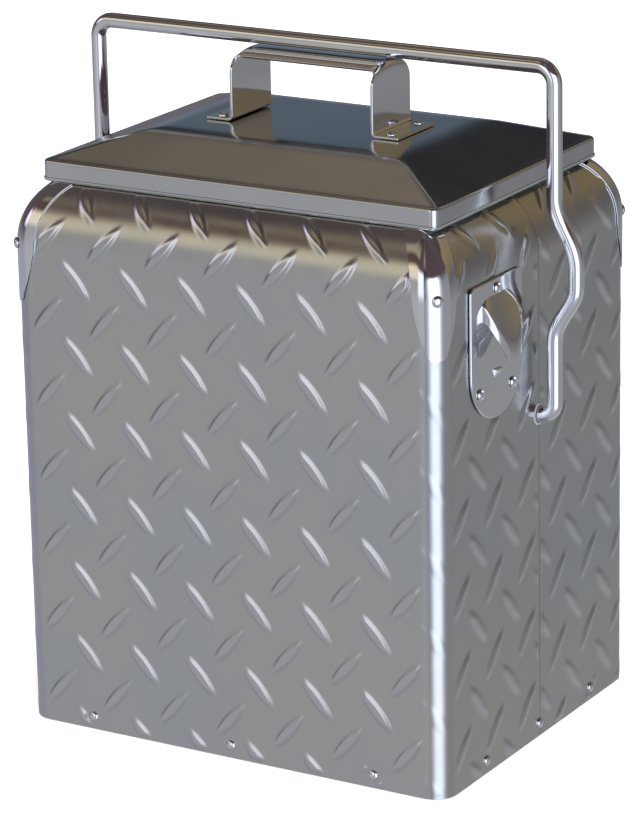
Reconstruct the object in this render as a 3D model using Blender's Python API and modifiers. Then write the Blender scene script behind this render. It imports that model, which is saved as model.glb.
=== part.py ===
"""Insulated cooler chest: tread-plate body, lift-off lid and a swinging bail handle.

The frame is in metres, with +Z up, the front face at -Y and the origin at the
bottom centre, on the surface that the chest stands on.
"""

import math

import bmesh
import bpy
from mathutils import Matrix, Vector

MM = 0.001

# Driving dimensions of the body.
HALF_W = 140 * MM
HALF_D = 113 * MM
WALL_CORNER = 14 * MM
SHOULDER_Z = 288 * MM
SHOULDER_R = 40 * MM
SHOULDER_END = 20 * MM
SHEET = 1.0 * MM
GAP = 0.3 * MM
STRIP_HALF = 12 * MM
HOLE_R = 2.1 * MM
RIVET_R = 1.6 * MM
CORNER_STEPS = 4

# The liner and the insulation inside the walls. An inset is a distance in from the wall's outer face.
CAVITY_INSET = 23 * MM
CAVITY_CORNER = 20 * MM
CAVITY_FLOOR = 30 * MM
FLOOR_BEND = 6 * MM
LINER_T = 1.5 * MM
RIM_Z = 323 * MM
RIM_INSET = 19.2 * MM
FOAM_INSET = 2.8 * MM
FOAM_LOW_INSET = 5.2 * MM
FOAM_TOP = 312 * MM

# The base tray and its rivets.
PAN_T = 1.2 * MM
PAN_H = 18 * MM
BASE_RIVET_Z = 8 * MM
BASE_RIVET_X = 94 * MM
BASE_RIVET_Y = 64 * MM

# The corner caps.
CAP_T = 1.3 * MM
CAP_GAP = 0.6 * MM
CAP_TIP_Z = 254 * MM
CAP_RIVET_Z = 288 * MM
CAP_SPREAD = ((256, 4), (258, 5.5), (265, 8.5), (274, 11.5), (283, 13.5), (292, 14.5), (302, 14.5), (320, 13.5))

# The lid.
LID_HALF_W = 128.5 * MM
LID_HALF_D = 95.5 * MM
LID_CORNER = 5 * MM
SKIRT_LOW = 322.3 * MM
SKIRT_TOP = 334.5 * MM
CROWN_HALF_W = 72 * MM
CROWN_HALF_D = 43 * MM
CROWN_Z = 349 * MM
PLUG_INSET = 24.2 * MM
PLUG_Z = 309 * MM
LID_FLANGE_Z = 328.3 * MM
LID_PAN_T = 1.2 * MM
GASKET_W = 3.4 * MM

# The lid's bracket, a bent strap that the bail closes over.
STRAP_T = 1.6 * MM
STRAP_HALF = 47 * MM
STRAP_HALF_Y = 21.5 * MM
STRAP_NECK_Y = 16 * MM
STRAP_TOP = 390 * MM
STRAP_CROWN_R = 45 * MM
FOOT_END = 63 * MM
FOOT_RIVET = Vector((55.5 * MM, 15.5 * MM, 0))

# The bail handle.
PIVOT_Z = 195 * MM
ROD_R = 4.5 * MM
BAR_Z = 395.5 * MM
LEG_X = 150 * MM
LEG_KINK = 13.5 * MM
KINK_Z = (240 * MM, 272 * MM, 283 * MM, 322 * MM)
BAR_BEND = 10 * MM
PIVOT_BEND = 8 * MM
ROD_END_X = 124 * MM
BUSH_R = 6.5 * MM

# The bottle opener on the right wall.
OPENER_Y = -52.5 * MM
OPENER_HALF = 29.5 * MM
OPENER_TOP = 288 * MM
OPENER_ARC_Z = 238 * MM
OPENER_T = 1.6 * MM
HOOD_TOP = 279 * MM
HOOD_SIDE = 267 * MM
HOOD_TIP = 241 * MM
HOOD_HALF = 15.5 * MM
HOOD_OUT = 14 * MM
HOOD_T = 1.6 * MM
TOOTH_HALF = 5 * MM
TOOTH_LOW = 232 * MM
TOOTH_TOP = 237.5 * MM
TOOTH_OUT = 4.6 * MM
SCREWS = ((OPENER_Y, 282.5 * MM), (-72.5 * MM, 226.5 * MM), (-35 * MM, 224 * MM))
# The middle of the plate's thickness, where the hood and the tooth are rooted.
OPENER_MID_X = HALF_W + GAP + OPENER_T / 2


def clear_scene():
    for obj in list(bpy.data.objects):
        bpy.data.objects.remove(obj, do_unlink=True)


def new_collection(name):
    collection = bpy.data.collections.new(name)
    bpy.context.scene.collection.children.link(collection)
    return collection


def material(name, colour, roughness, metallic):
    made = bpy.data.materials.new(name)
    made.use_nodes = True
    shader = made.node_tree.nodes["Principled BSDF"]
    shader.inputs["Base Color"].default_value = (*colour, 1)
    shader.inputs["Roughness"].default_value = roughness
    shader.inputs["Metallic"].default_value = metallic
    return made


clear_scene()
CHEST = new_collection("cooler_chest")
CUTTERS = new_collection("cutters")
CUTTERS.hide_render = True

TREAD_STEEL = material("tread_steel", (0.52, 0.52, 0.51), 0.28, 1)
CHROME = material("chrome", (0.72, 0.73, 0.75), 0.08, 1)
LID_STEEL = material("lid_steel", (0.50, 0.50, 0.50), 0.16, 1)
GALVANISED = material("galvanised", (0.46, 0.47, 0.48), 0.42, 1)
LINER_PLASTIC = material("liner_plastic", (0.72, 0.82, 0.75), 0.45, 0)
FOAM = material("foam", (0.86, 0.80, 0.58), 0.95, 0)
RUBBER = material("rubber", (0.05, 0.05, 0.05), 0.7, 0)
NYLON = material("nylon", (0.12, 0.12, 0.12), 0.5, 0)


def mesh_object(name, mesh_data, finish, collection=None):
    obj = bpy.data.objects.new(name, mesh_data)
    (collection or CHEST).objects.link(obj)
    if finish:
        mesh_data.materials.append(finish)
        mesh_data.shade_smooth()
        mesh_data.set_sharp_from_angle(angle=math.radians(35))
    return obj


def bm_object(name, shape, finish, collection=None):
    bmesh.ops.recalc_face_normals(shape, faces=shape.faces)
    mesh_data = bpy.data.meshes.new(name)
    shape.to_mesh(mesh_data)
    shape.free()
    return mesh_object(name, mesh_data, finish, collection)


def cutter(name, shape):
    obj = bm_object(name, shape, None, CUTTERS)
    obj.hide_render = True
    obj.display_type = "WIRE"
    return obj


def cut(obj, tools):
    for tool in tools:
        boolean = obj.modifiers.new(tool.name, "BOOLEAN")
        boolean.operation = "DIFFERENCE"
        boolean.object = tool


def sheet_object(name, shape, finish, thickness, facing, offset=-1):
    """A pressed sheet, whose last face is turned to look along facing, with the metal behind it."""
    shape.faces.ensure_lookup_table()
    shape.normal_update()
    if shape.faces[-1].normal.dot(Vector(facing)) < 0:
        bmesh.ops.reverse_faces(shape, faces=shape.faces)
    mesh_data = bpy.data.meshes.new(name)
    shape.to_mesh(mesh_data)
    shape.free()
    obj = mesh_object(name, mesh_data, finish)
    modifier = obj.modifiers.new("thickness", "SOLIDIFY")
    modifier.thickness = thickness
    modifier.offset = offset
    modifier.use_even_offset = True
    return obj


def arc_points(centre, radius, start, stop, steps):
    """Points of an arc in plan, from one angle to another, both ends included."""
    turn = (stop - start) / steps
    angles = [start + turn * step for step in range(steps + 1)]
    return [(centre[0] + radius * math.cos(a), centre[1] + radius * math.sin(a)) for a in angles]


def rounded_rectangle(half_w, half_d, radius, steps=CORNER_STEPS):
    """A closed plan outline, counter-clockwise from the right side's rear corner."""
    outline = []
    for corner in range(4):
        sign_x = 1 if corner in (0, 3) else -1
        sign_y = 1 if corner in (0, 1) else -1
        centre = (sign_x * (half_w - radius), sign_y * (half_d - radius))
        start = corner * math.pi / 2
        outline += arc_points(centre, radius, start, start + math.pi / 2, steps)
    return outline


def corner_radius(inset):
    """The body's plan corner tightens as the shoulder rolls in."""
    return WALL_CORNER - 0.5 * inset


def shoulder_inset(z, drop=0.0):
    """How far in the wall's face is at this height, for a face that lies drop below the outer one."""
    if z <= SHOULDER_Z:
        return drop
    reach = SHOULDER_R - drop
    return SHOULDER_R - math.sqrt(reach * reach - (z - SHOULDER_Z) ** 2)


def loft(rings, cap_first, cap_last, closed=True):
    """A surface through rings of equally many points, each a list of (x, y, z)."""
    shape = bmesh.new()
    rows = [[shape.verts.new(point) for point in ring] for ring in rings]
    for low, high in zip(rows, rows[1:]):
        count = len(low)
        for index in range(count if closed else count - 1):
            after = (index + 1) % count
            shape.faces.new((low[index], low[after], high[after], high[index]))
    if cap_first:
        shape.faces.new(rows[0][::-1])
    if cap_last:
        shape.faces.new(rows[-1])
    return shape


def ring_at(half_w, half_d, radius, z, steps=CORNER_STEPS):
    return [(x, y, z) for x, y in rounded_rectangle(half_w, half_d, radius, steps)]


def body_ring(inset, z, radius):
    return ring_at(HALF_W - inset, HALF_D - inset, radius, z)


def cylinder(radius, start, end, segments=12):
    """A closed cylinder between two points."""
    start, end = Vector(start), Vector(end)
    axis = end - start
    turn = axis.to_track_quat("Z", "Y").to_matrix().to_4x4()
    shape = bmesh.new()
    place = Matrix.Translation((start + end) / 2) @ turn
    bmesh.ops.create_cone(
        shape, cap_ends=True, segments=segments, radius1=radius, radius2=radius,
        depth=axis.length, matrix=place,
    )
    return shape


def box(low, high):
    low, high = Vector(low), Vector(high)
    size = high - low
    shape = bmesh.new()
    place = Matrix.Translation((low + high) / 2) @ Matrix.Diagonal((*size, 1))
    bmesh.ops.create_cube(shape, size=1, matrix=place)
    return shape


def turned(name, profile, place, finish, segments=16):
    """A solid turned about its own Z from (radius, height) points that start and end on the axis."""
    rings = []
    for radius, height in profile[1:-1]:
        turn = 2 * math.pi / segments
        rings.append([
            (radius * math.cos(turn * step), radius * math.sin(turn * step), height)
            for step in range(segments)
        ])
    obj = bm_object(name, loft(rings, True, True), finish)
    obj.matrix_world = place


def pointing(position, direction):
    """A placement whose own Z points along direction."""
    turn = Vector(direction).to_track_quat("Z", "Y").to_matrix().to_4x4()
    return Matrix.Translation(position) @ turn


def rivet(name, position, direction, head_r, head_h, shank, tail_r, tail_h):
    """A domed head on the surface, a shank through the sheets and an upset tail behind them."""
    profile = [(0, head_h)]
    for step in range(1, 4):
        angle = math.radians(90 - 25 * step)
        profile.append((head_r * math.cos(angle), head_h * math.sin(angle)))
    profile += [
        (head_r, 0), (RIVET_R, 0), (RIVET_R, -shank), (tail_r, -shank),
        (tail_r * 0.8, -shank - tail_h), (0, -shank - tail_h),
    ]
    turned(name, profile, pointing(position, direction), CHROME, 8)


# ---------------------------------------------------------------- body shells

def shoulder_heights(steps=7):
    """Heights round the shoulder's arc, from the top of the wall to the mouth."""
    sweep = math.acos(1 - SHOULDER_END / SHOULDER_R)
    return [SHOULDER_Z + SHOULDER_R * math.sin(sweep * step / steps) for step in range(steps + 1)]


def shell_profile():
    """(inset, z) up the outer face of the wall, over the shoulder and to the mouth."""
    heights = [0, SHOULDER_Z * 0.5, *shoulder_heights()]
    return [(shoulder_inset(z), z) for z in heights]


def half_outline(inset, side):
    """One half of the body's outline in plan, from seam to seam. side is -1 in front and 1 behind."""
    radius = corner_radius(inset)
    half_w, half_d = HALF_W - inset, HALF_D - inset
    seam_y = side * GAP / 2
    centre_x, centre_y = half_w - radius, side * (half_d - radius)
    first = arc_points((centre_x, centre_y), radius, 0, side * math.pi / 2, CORNER_STEPS)
    last = [(-x, y) for x, y in reversed(first)]
    return [(half_w, seam_y), *first, *last, (-half_w, seam_y)]


def shell_half(name, side):
    rings = [[(x, y, z) for x, y in half_outline(inset, side)] for inset, z in shell_profile()]
    shape = loft(rings, False, False, closed=False)
    return sheet_object(name, shape, TREAD_STEEL, SHEET, (-1, 0, 0))


def hole_cutters():
    """Clearance holes through the walls: base rivets, cap rivets, bail pivots and opener screws."""
    tools = {"base": [], "cap": [], "pivot": [], "screw": []}
    for spot, out in base_rivet_places():
        out = Vector(out)
        tools["base"].append(cutter("hole_base_%02d" % len(tools["base"]),
                                    cylinder(HOLE_R, spot + out * 3 * MM, spot - out * 6 * MM, 9)))
    for spot, out in cap_rivet_places():
        tools["cap"].append(cutter("hole_cap_%d" % len(tools["cap"]),
                                   cylinder(HOLE_R, spot + out * 6 * MM, spot - out * 5 * MM, 9)))
    for side in (-1, 1):
        outside, inside = (side * (HALF_W + 4 * MM), 0, PIVOT_Z), (side * (HALF_W - 8 * MM), 0, PIVOT_Z)
        tools["pivot"].append(cutter("hole_pivot_%d" % (side > 0),
                                     cylinder(BUSH_R + GAP, outside, inside, 20)))
    for index, (y, z) in enumerate(SCREWS):
        tools["screw"].append(cutter("hole_screw_%d" % index, cylinder(
            HOLE_R, (HALF_W + 5 * MM, y, z), (HALF_W - 8 * MM, y, z), 9)))
    return tools


def base_rivet_places():
    """(point on the wall's outer face, outward direction) of each base rivet."""
    places = []
    for side in (-1, 1):
        for step in (-1, 0, 1):
            places.append((Vector((step * BASE_RIVET_X, side * HALF_D, BASE_RIVET_Z)), (0, side, 0)))
            places.append((Vector((side * HALF_W, step * BASE_RIVET_Y, BASE_RIVET_Z)), (side, 0, 0)))
    return places


def cap_rivet_places():
    places = []
    for sign_x in (-1, 1):
        for sign_y in (-1, 1):
            out = Vector((sign_x, sign_y, 0)).normalized()
            centre = Vector((sign_x * (HALF_W - WALL_CORNER), sign_y * (HALF_D - WALL_CORNER), CAP_RIVET_Z))
            places.append((centre + out * WALL_CORNER, out))
    return places


def seam_strip(name, side, tools):
    """A strip inside each side wall that joins the two shells behind their seam."""
    outer = side * (HALF_W - SHEET - GAP)
    inner = outer - side * SHEET
    low, high = sorted((outer, inner))
    shape = box((low, -STRIP_HALF, PAN_H + 2 * MM), (high, STRIP_HALF, SHOULDER_Z - 4 * MM))
    strip = bm_object(name, shape, GALVANISED)
    cut(strip, [tools["pivot"][int(side > 0)]])


# ---------------------------------------------------------------- corner caps

def cap_spread(z):
    """Half the cap's developed width at this height, read between the named heights."""
    heights = [(height * MM, spread * MM) for height, spread in CAP_SPREAD]
    for (low, narrow), (high, wide) in zip(heights, heights[1:]):
        if z <= high:
            return narrow + (wide - narrow) * max(0, z - low) / (high - low)
    return heights[-1][1]


def cap_point(share, spread, inset, sign_x, sign_y):
    """A point on the body's outline, at a share of the spread from the corner's middle.

    Where the cap is wider than the corner's arc, the inner half of the shares stays on the arc.
    """
    radius = corner_radius(max(0, inset)) + CAP_GAP
    half_w, half_d = HALF_W - inset, HALF_D - inset
    half_arc = radius * math.pi / 4
    along = spread * share
    if spread > half_arc:
        outer = max(0, 2 * abs(share) - 1)
        along = math.copysign(half_arc * min(1, 2 * abs(share)) + (spread - half_arc) * outer, share)
    centre = Vector((half_w - radius, half_d - radius))
    if abs(along) <= half_arc:
        angle = math.pi / 4 + along / radius
        point = centre + radius * Vector((math.cos(angle), math.sin(angle)))
    elif along > 0:
        point = Vector((centre.x - (along - half_arc), half_d))
    else:
        point = Vector((half_w, centre.y + (along + half_arc)))
    return sign_x * point.x, sign_y * point.y


def corner_cap(name, sign_x, sign_y, hole):
    tip_rows = (1.5, 3.5, 6.5, 10, 14, 20, 27)
    heights = [CAP_TIP_Z, *(CAP_TIP_Z + rise * MM for rise in tip_rows), *shoulder_heights()[:-1]]
    rings = []
    for z in heights:
        spread = cap_spread(z) if z > CAP_TIP_Z else 2 * MM
        inset = shoulder_inset(z, -CAP_GAP)
        ring = []
        for step in range(-4, 5):
            x, y = cap_point(step / 4, spread, inset, sign_x, sign_y)
            ring.append((x, y, z))
        rings.append(ring)
    shape = loft(rings, False, False, closed=False)
    obj = sheet_object(name, shape, CHROME, CAP_T, (sign_x, sign_y, 0), offset=1)
    cut(obj, [hole])


# ---------------------------------------------------------------- base, liner and insulation

def base_pan(tools):
    """A shallow tray inside the foot of the walls, whose floor is the face that the chest stands on."""
    inset = SHEET + GAP
    radius = WALL_CORNER - inset
    rings = [body_ring(inset, PAN_H, radius), body_ring(inset, 0, radius)]
    obj = sheet_object("base_pan", loft(rings, False, True), GALVANISED, PAN_T, (0, 0, -1))
    cut(obj, tools["base"])


def liner():
    """The plastic tub, open at the top, with a flat rim that rests on the shoulder's edge."""
    rings = []
    for step in range(3):
        # The floor turns up into the walls round a 6 mm arc.
        angle = math.radians(45 * step)
        inward, rise = FLOOR_BEND * (1 - math.sin(angle)), FLOOR_BEND * (1 - math.cos(angle))
        rings.append(body_ring(CAVITY_INSET + inward, CAVITY_FLOOR + rise, CAVITY_CORNER - inward))
    rings.append(body_ring(CAVITY_INSET, RIM_Z + LINER_T, CAVITY_CORNER))
    rings.append(body_ring(RIM_INSET, RIM_Z + LINER_T, CAVITY_CORNER - 4 * MM))
    sheet_object("liner", loft(rings[::-1], False, True), LINER_PLASTIC, LINER_T, (0, 0, 1))


def foam_insulation():
    """The foam between the liner and the walls, a tub with pockets for the pivots and the opener's screws."""
    foot = PAN_T + GAP
    low = CAVITY_FLOOR - LINER_T - GAP
    inner_inset = CAVITY_INSET - LINER_T - GAP
    inner_corner = CAVITY_CORNER + LINER_T + GAP
    top_inset = shoulder_inset(FOAM_TOP, FOAM_INSET)
    middle = (SHOULDER_Z + FOAM_TOP) / 2
    rings = [
        body_ring(FOAM_LOW_INSET, foot, WALL_CORNER - FOAM_LOW_INSET),
        body_ring(FOAM_LOW_INSET, PAN_H + 2 * MM, WALL_CORNER - FOAM_LOW_INSET),
        body_ring(FOAM_INSET, PAN_H + 3 * MM, WALL_CORNER - FOAM_INSET),
        body_ring(FOAM_INSET, SHOULDER_Z, WALL_CORNER - FOAM_INSET),
        body_ring(shoulder_inset(middle, FOAM_INSET), middle, WALL_CORNER - FOAM_INSET),
        body_ring(top_inset, FOAM_TOP, WALL_CORNER - FOAM_INSET),
        body_ring(inner_inset, FOAM_TOP, inner_corner),
        body_ring(inner_inset, CAVITY_FLOOR + FLOOR_BEND, inner_corner),
        body_ring(inner_inset + 2 * MM, low, inner_corner - 2 * MM),
    ]
    obj = bm_object("foam_insulation", loft(rings, True, True), FOAM)
    pockets = []
    for side in (-1, 1):
        near, far = sorted((side * (HALF_W + 1 * MM), side * (HALF_W - 18 * MM)))
        pockets.append(cutter("pocket_pivot_%d" % (side > 0), box(
            (near, -13 * MM, PIVOT_Z - 14 * MM), (far, 13 * MM, PIVOT_Z + 14 * MM))))
    pockets.append(cutter("pocket_opener", box(
        (HALF_W - 9 * MM, OPENER_Y - 26 * MM, 216 * MM), (HALF_W + 1 * MM, OPENER_Y + 24 * MM, 290 * MM))))
    cut(obj, pockets)


# ---------------------------------------------------------------- lid

def lid_outer():
    """The pressed lid: a skirt, four slopes and a flat crown."""
    edge = 0.9 * MM
    rings = [
        ring_at(LID_HALF_W, LID_HALF_D, LID_CORNER, SKIRT_LOW),
        ring_at(LID_HALF_W, LID_HALF_D, LID_CORNER, SKIRT_TOP - edge),
        ring_at(LID_HALF_W - edge, LID_HALF_D - edge, LID_CORNER - edge, SKIRT_TOP),
        ring_at(CROWN_HALF_W + 2 * MM, CROWN_HALF_D + 2 * MM, 3.5 * MM, CROWN_Z - 0.5 * MM),
        ring_at(CROWN_HALF_W, CROWN_HALF_D, 3 * MM, CROWN_Z),
    ]
    obj = sheet_object("lid_outer", loft(rings, False, True), LID_STEEL, SHEET, (0, 0, 1))
    holes = []
    for index, (sign_x, sign_y) in enumerate(((-1, -1), (-1, 1), (1, -1), (1, 1))):
        spot = Vector((sign_x * FOOT_RIVET.x, sign_y * FOOT_RIVET.y, CROWN_Z))
        rise = Vector((0, 0, 6 * MM))
        holes.append(cutter("hole_foot_%d" % index, cylinder(HOLE_R, spot - rise, spot + rise, 9)))
    cut(obj, holes)
    return holes


def lid_inner():
    """The plastic pan under the lid. It plugs the mouth, and its flange fills the skirt."""
    flange_w = LID_HALF_W - SHEET - 0.4 * MM
    flange_d = LID_HALF_D - SHEET - 0.4 * MM
    plug_w, plug_d = HALF_W - PLUG_INSET, HALF_D - PLUG_INSET
    rings = [
        ring_at(flange_w, flange_d, 3.6 * MM, LID_FLANGE_Z),
        ring_at(plug_w, plug_d, 18 * MM, LID_FLANGE_Z),
        ring_at(plug_w - 0.6 * MM, plug_d - 0.6 * MM, 17.4 * MM, PLUG_Z + 4 * MM),
        ring_at(plug_w - 4 * MM, plug_d - 4 * MM, 14 * MM, PLUG_Z),
    ]
    sheet_object("lid_inner", loft(rings, False, True), LINER_PLASTIC, LID_PAN_T, (0, 0, -1))


def lid_foam():
    plug_w = HALF_W - PLUG_INSET - 2.4 * MM
    plug_d = HALF_D - PLUG_INSET - 2.4 * MM
    wide_w, wide_d = LID_HALF_W - 2.4 * MM, LID_HALF_D - 2.4 * MM
    top_z = CROWN_Z - 4 * MM
    rings = [
        ring_at(plug_w - 4 * MM, plug_d - 4 * MM, 12 * MM, PLUG_Z + 1.6 * MM),
        ring_at(plug_w - 0.6 * MM, plug_d - 0.6 * MM, 15 * MM, PLUG_Z + 5.8 * MM),
        ring_at(plug_w, plug_d, 15.6 * MM, LID_FLANGE_Z + 1.8 * MM),
        ring_at(wide_w, wide_d, 3 * MM, LID_FLANGE_Z + 1.8 * MM),
        ring_at(wide_w, wide_d, 3 * MM, SKIRT_TOP - 2.4 * MM),
        ring_at(CROWN_HALF_W - 4 * MM, CROWN_HALF_D - 4 * MM, 3 * MM, top_z),
    ]
    bm_object("lid_foam", loft(rings, True, True), FOAM)


def lid_gasket():
    """A soft ring under the lid's flange, just above the tub's rim."""
    outer_inset = RIM_INSET + 0.2 * MM
    inner_inset = outer_inset + GASKET_W
    low, high = RIM_Z + LINER_T + GAP, LID_FLANGE_Z - GAP
    outer_corner = CAVITY_CORNER - 4 * MM
    inner_corner = CAVITY_CORNER
    rings = [
        body_ring(outer_inset, low, outer_corner),
        body_ring(outer_inset, high, outer_corner),
        body_ring(inner_inset, high, inner_corner),
        body_ring(inner_inset, low, inner_corner),
    ]
    bm_object("lid_gasket", loft([*rings, rings[0]], False, False), RUBBER)


def strap_path():
    """(x, z, top) down the strap's centre line: top is 1 on the bridge, 0 on the ears and feet."""
    foot_z = CROWN_Z + GAP + STRAP_T / 2
    bridge_z = STRAP_TOP - STRAP_T / 2
    ear_x = STRAP_HALF - STRAP_T / 2
    low_bend, high_bend = 2.6 * MM, 4.0 * MM
    path = [(FOOT_END, foot_z, 0)]
    centre = (ear_x + low_bend, foot_z + low_bend)
    path += [(*point, 0) for point in arc_points(centre, low_bend, 1.5 * math.pi, math.pi, 2)]
    path += [(ear_x, 362 * MM, 0), (ear_x, 374 * MM, 0)]
    path += [(ear_x, 378 * MM, 0.1), (ear_x, 381.5 * MM, 0.3)]
    centre = (ear_x - high_bend, bridge_z - high_bend)
    ends = arc_points(centre, high_bend, 0, math.pi / 2, 3)
    path += [(*point, 0.5 + 0.5 * step / 3) for step, point in enumerate(ends)]
    path.append((24 * MM, bridge_z, 1))
    return path


def lid_bracket(holes):
    """The strap: outward feet, two broad ears and a narrower bridge that is crowned front to back."""
    right = strap_path()
    path = right + [(0, right[-1][1], 1)] + [(-x, z, top) for x, z, top in reversed(right)]
    radius = STRAP_CROWN_R - STRAP_T / 2
    rings = []
    for x, z, top in path:
        half_y = STRAP_HALF_Y + (STRAP_NECK_Y - STRAP_HALF_Y) * math.sin(top * math.pi / 2) ** 2
        ring = []
        for step in range(-3, 4):
            y = half_y * step / 3
            sag = radius - math.sqrt(radius * radius - y * y)
            ring.append((x, y, z - sag * top))
        rings.append(ring)
    shape = loft(rings, False, False, closed=False)
    obj = sheet_object("lid_bracket", shape, CHROME, STRAP_T, (0, 0, 1), offset=0)
    cut(obj, holes)


# ---------------------------------------------------------------- bail handle

def kink_offset(z):
    """How far the leg bows out from its straight line at this height, to pass over the opener."""
    low, low_full, high_full, high = KINK_Z
    if z <= low or z >= high:
        return 0
    if z < low_full:
        share = (z - low) / (low_full - low)
    elif z > high_full:
        share = (high - z) / (high - high_full)
    else:
        share = 1
    return LEG_KINK * (1 - math.cos(math.pi * share)) / 2


def bail_route():
    """The rod's centre line for the right half, from inside the wall to the middle of the bar."""
    route = [(ROD_END_X, PIVOT_Z), (HALF_W - 2 * MM, PIVOT_Z)]
    route += arc_points((LEG_X - PIVOT_BEND, PIVOT_Z + PIVOT_BEND), PIVOT_BEND, -math.pi / 2, 0, 6)
    route.append((LEG_X, 225 * MM))
    low, high = KINK_Z[0], KINK_Z[-1]
    for step in range(15):
        z = low + (high - low) * step / 14
        route.append((LEG_X + kink_offset(z), z))
    route += arc_points((LEG_X - BAR_BEND, BAR_Z - BAR_BEND), BAR_BEND, 0, math.pi / 2, 7)
    return route


def bail_handle():
    half = bail_route()
    route = half + [(-x, z) for x, z in reversed(half)]
    data = bpy.data.curves.new("bail_handle", "CURVE")
    data.dimensions = "3D"
    data.bevel_depth = ROD_R
    data.bevel_resolution = 3
    data.use_fill_caps = True
    spline = data.splines.new("POLY")
    spline.points.add(len(route) - 1)
    for point, (x, z) in zip(spline.points, route):
        # The object's origin is on the pivot's axis.
        point.co = (x, 0, z - PIVOT_Z, 1)
    data.materials.append(CHROME)
    obj = bpy.data.objects.new("bail_handle", data)
    obj.location.z = PIVOT_Z
    CHEST.objects.link(obj)


def ring_turned(name, profile, side, finish, segments=20):
    """A ring about the bail's axis from a closed profile of (radius, distance in from the wall's face)."""
    turn = 2 * math.pi / segments
    rings = []
    for radius, inset in [*profile, profile[0]]:
        x = side * (HALF_W - inset)
        rings.append([
            (x, radius * math.cos(turn * step), PIVOT_Z + radius * math.sin(turn * step))
            for step in range(segments)
        ])
    shape = loft(rings, False, False)
    bmesh.ops.remove_doubles(shape, verts=shape.verts, dist=0.00001)
    bm_object(name, shape, finish)


def pivot_bush(name, side):
    """A flanged sleeve in the wall that the rod turns in, its flange behind the seam strip."""
    bore = ROD_R + 0.35 * MM
    flange_face = 2 * SHEET + 2 * GAP
    profile = [
        (bore, -0.4 * MM), (BUSH_R, -0.4 * MM), (BUSH_R, flange_face), (BUSH_R + 3.5 * MM, flange_face),
        (BUSH_R + 3.5 * MM, flange_face + 1.6 * MM), (BUSH_R, flange_face + 1.6 * MM),
        (BUSH_R, 11 * MM), (bore, 11 * MM),
    ]
    ring_turned(name, profile, side, NYLON)


def bail_clip(name, side):
    """A push-on washer that keeps the rod's end inside the wall."""
    bore = ROD_R + 0.35 * MM
    profile = [(bore, 12 * MM), (bore + 4 * MM, 12 * MM), (bore + 4 * MM, 13.4 * MM), (bore, 13.4 * MM)]
    ring_turned(name, profile, side, GALVANISED)


# ---------------------------------------------------------------- bottle opener

def opener_outline():
    """(y, z) of the plate: small round corners above, a half circle below."""
    corner = 4 * MM
    top = OPENER_TOP - corner
    side = OPENER_HALF - corner
    points = arc_points((OPENER_Y + side, top), corner, 0, math.pi / 2, 3)
    points += arc_points((OPENER_Y - side, top), corner, math.pi / 2, math.pi, 3)
    points += arc_points((OPENER_Y, OPENER_ARC_Z), OPENER_HALF, math.pi, 2 * math.pi, 14)
    return points


def hood_skins():
    """The outer and inner skin of the hood, a beak that stands out from the plate and is open below."""
    root_x = OPENER_MID_X
    across, down = 12, 6
    skins = []
    for half_y, out in ((HOOD_HALF, HOOD_OUT), (HOOD_HALF - HOOD_T, HOOD_OUT - HOOD_T)):
        rows = []
        for step in range(down + 1):
            share = step / down
            row = []
            for turn in range(across + 1):
                angle = math.pi * turn / across
                bulge = math.sin(angle)
                low = HOOD_SIDE + (HOOD_TIP - HOOD_SIDE) * bulge
                z = HOOD_TOP + (low - HOOD_TOP) * share
                swell = math.sin(share * math.pi / 2) ** 0.8
                width = half_y * (0.45 + 0.55 * math.sin(min(1, share * 1.6) * math.pi / 2))
                row.append((root_x + out * swell * bulge, OPENER_Y - width * math.cos(angle), z))
            rows.append(row)
        skins.append(rows)
    return skins


def hood_solid():
    """Both skins joined round their edges, so that the hood is one closed piece."""
    outer, inner = hood_skins()
    shape = bmesh.new()
    grids = []
    for rows in (outer, inner):
        shift = 0 if rows is outer else -HOOD_T
        grids.append([[shape.verts.new((x, y, z + shift * (index == 0))) for x, y, z in row]
                      for index, row in enumerate(rows)])
    for grid in grids:
        for low, high in zip(grid, grid[1:]):
            for index in range(len(low) - 1):
                shape.faces.new((low[index], low[index + 1], high[index + 1], high[index]))
    first, second = grids
    for row in (0, -1):
        outer_row, inner_row = first[row], second[row]
        for index in range(len(outer_row) - 1):
            shape.faces.new((outer_row[index], outer_row[index + 1], inner_row[index + 1], inner_row[index]))
    for column in (0, -1):
        for index in range(len(first) - 1):
            shape.faces.new((first[index][column], first[index + 1][column],
                             second[index + 1][column], second[index][column]))
    bmesh.ops.recalc_face_normals(shape, faces=shape.faces)
    return shape


def opener_tooth():
    """The catch under the hood's mouth, a wedge that goes under a bottle's cap."""
    near, far = OPENER_MID_X, OPENER_MID_X + TOOTH_OUT
    shape = box((near, OPENER_Y - TOOTH_HALF, TOOTH_LOW), (far, OPENER_Y + TOOTH_HALF, TOOTH_TOP))
    for vertex in shape.verts:
        if vertex.co.x > (near + far) / 2 and vertex.co.z < (TOOTH_LOW + TOOTH_TOP) / 2:
            vertex.co.x = near + 0.4 * TOOTH_OUT
    return shape


def opener_plate(tools):
    shape = bmesh.new()
    near, far = HALF_W + GAP, HALF_W + GAP + OPENER_T
    outline = opener_outline()
    low = [shape.verts.new((near, y, z)) for y, z in outline]
    high = [shape.verts.new((far, y, z)) for y, z in outline]
    shape.faces.new(low[::-1])
    shape.faces.new(high)
    for index in range(len(outline)):
        after = (index + 1) % len(outline)
        shape.faces.new((low[index], low[after], high[after], high[index]))
    obj = bm_object("opener_plate", shape, CHROME)
    for name, extra in (("hood", hood_solid()), ("tooth", opener_tooth())):
        part = cutter("opener_" + name, extra)
        union = obj.modifiers.new(name, "BOOLEAN")
        union.operation = "UNION"
        union.object = part
    cut(obj, tools["screw"])


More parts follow.
